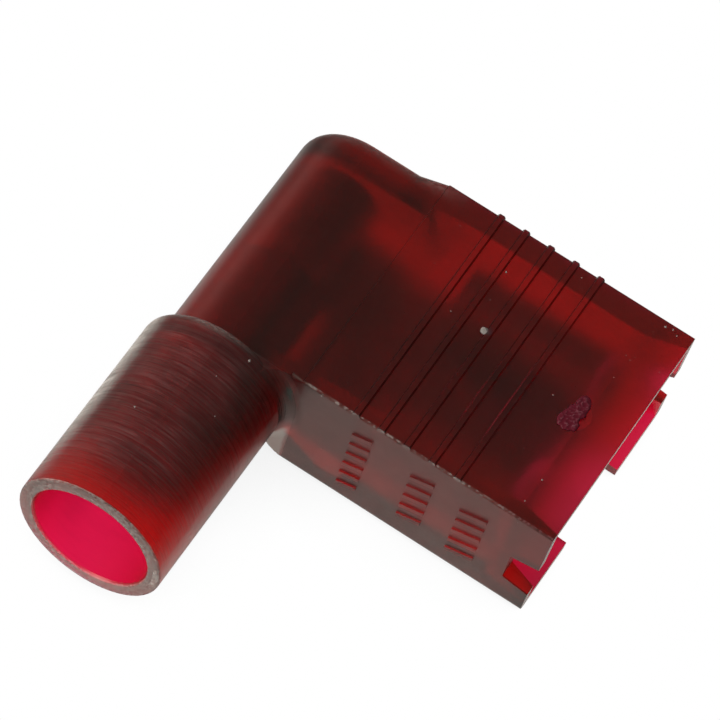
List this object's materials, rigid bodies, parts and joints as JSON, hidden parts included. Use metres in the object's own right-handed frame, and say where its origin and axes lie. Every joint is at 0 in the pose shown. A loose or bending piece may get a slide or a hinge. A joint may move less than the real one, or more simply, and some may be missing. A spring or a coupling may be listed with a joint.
{
  "type": "flag female spade terminal",
  "caption": "Fully insulated right-angle female spade terminal: a translucent red nylon housing over a folded metal receptacle with a crimp barrel at a right angle.",
  "frame": {"origin": "middle of the wire tube's mouth", "axes": "+X towards the open end that takes the tab, +Y along the wire tube away from its mouth, +Z from the back wall up to the ribbed wall with the gate scar"},
  "size_m": [0.0147, 0.0167, 0.0056],
  "materials": {
    "nylon": "satin translucent dark red nylon",
    "tinned_brass": "bright tin plate",
    "tinned_sleeve": "dull tin plate"
  },
  "bodies": {
    "root": {"insulating_housing": "nylon", "receptacle_terminal": "tinned_brass", "crimp_sleeve": "tinned_sleeve"}
  },
  "joints": []
}
